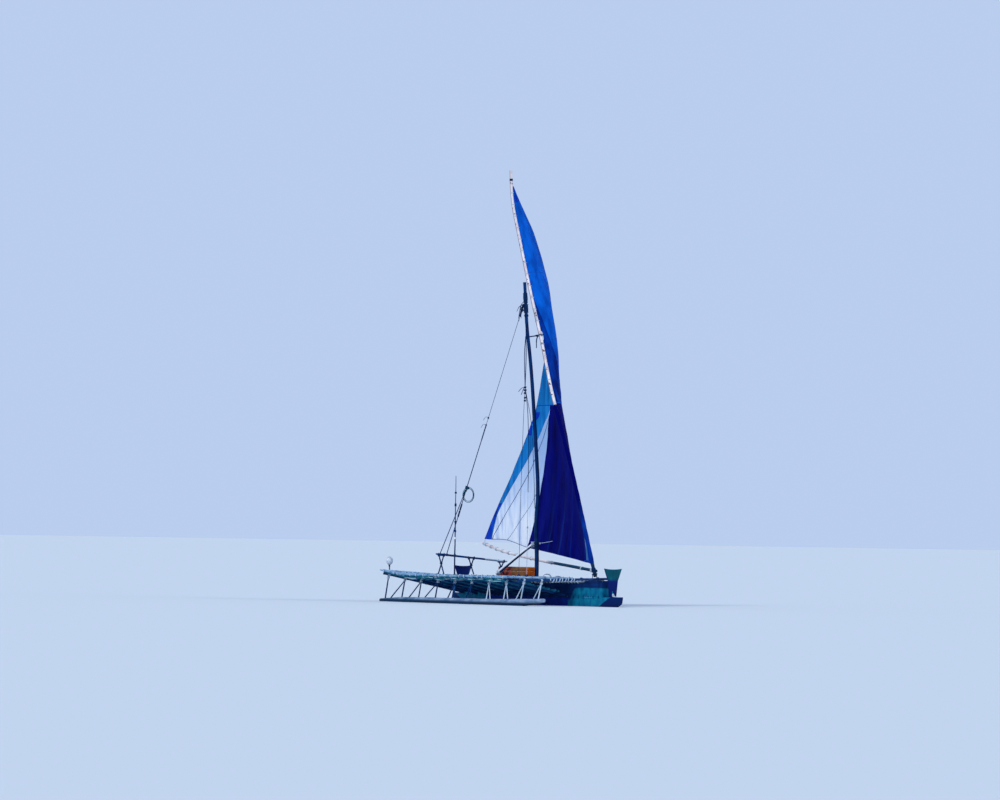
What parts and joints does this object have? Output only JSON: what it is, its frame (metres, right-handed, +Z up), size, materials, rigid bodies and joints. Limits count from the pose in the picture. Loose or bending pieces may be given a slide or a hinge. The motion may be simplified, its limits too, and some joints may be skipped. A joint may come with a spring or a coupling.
{
  "type": "sailing outrigger canoe",
  "caption": "Sailing canoe with a hollow dugout hull, a pole platform out to one float on crossed struts, a propped mast and a crab-claw sail that swings about its tack.",
  "frame": {"origin": "on the waterline amidships, on the centreline of the main hull", "axes": "+X to the bow, +Y to leeward, +Z up; the float lies at -Y"},
  "size_m": [9.4764, 3.6255, 12.1437],
  "materials": {
    "hull_dark": "dark tarred dugout wood, matt",
    "strake_teal": "planks painted dark teal, worn",
    "board_green": "painted green, worn at the edges",
    "pole_grey": "weathered round poles",
    "pole_teal": "dark wet poles",
    "plank_orange": "orange-brown sawn planks",
    "mast_teal": "dark painted natural pole",
    "yard_peeled": "pale peeled pole with brown knots",
    "rope_pale": "laid rope, pale",
    "rope_dark": "thin laid rope, dark",
    "rope_teal": "laid rope, teal",
    "float_wood": "grey weathered log",
    "ball_white": "matt white plastic",
    "sail_blue": "thin woven sheeting, bright blue",
    "sail_navy": "thin woven sheeting, navy",
    "sail_white": "thin woven sheeting, translucent white",
    "sail_cyan": "thin woven sheeting, light blue"
  },
  "bodies": {
    "canoe": {"dugout_hull": "hull_dark", "washstrake_windward": "strake_teal", "washstrake_leeward": "strake_teal", "rail_windward": "pole_grey", "rail_leeward": "pole_grey", "bulkhead_bow": "strake_teal", "bulkhead_stern": "strake_teal", "end_board_bow": "board_green", "end_board_stern": "board_green", "outrigger_boom_01": "pole_teal", "outrigger_boom_02": "pole_teal", "outrigger_boom_03": "pole_teal", "outrigger_boom_04": "pole_teal", "outrigger_boom_05": "pole_teal", "outrigger_boom_06": "pole_teal", "outrigger_boom_07": "pole_teal", "outrigger_boom_08": "pole_teal", "outrigger_boom_09": "pole_teal", "outrigger_boom_10": "pole_teal", "float_struts_01": "pole_teal", "float_struts_02": "pole_teal", "float_struts_03": "pole_teal", "float_struts_04": "pole_teal", "float_struts_05": "pole_teal", "float_struts_06": "pole_teal", "float_struts_07": "pole_teal", "float_struts_08": "pole_teal", "float_struts_09": "pole_teal", "float_struts_10": "pole_teal", "boom_lattice": "pole_teal", "outrigger_float": "float_wood", "platform_deck": "pole_grey", "bench_rack": "pole_teal", "plank_box": "plank_orange", "ball_post": "pole_teal", "net_ball": "ball_white", "staff": "pole_teal", "mast_step": "plank_orange", "mast": "mast_teal", "mast_prop": "pole_grey", "halyard_strop": "rope_pale", "windward_stay": "rope_dark", "spare_coil": "rope_teal", "tack_thwart": "pole_grey"},
    "rig": {"yard": "yard_peeled", "sail_boom": "yard_peeled", "sail_peak": "sail_blue", "sail_luff": "sail_navy", "sail_centre": "sail_white", "sail_leech": "sail_cyan"}
  },
  "joints": [
    {"name": "sail_swing", "type": "hinge", "parent": "canoe", "child": "rig", "pos_m": [3.09967, -0.00105, 0.86], "axis": [0.428, 0.0048, -0.9038], "range_deg": [-3, 60]}
  ]
}
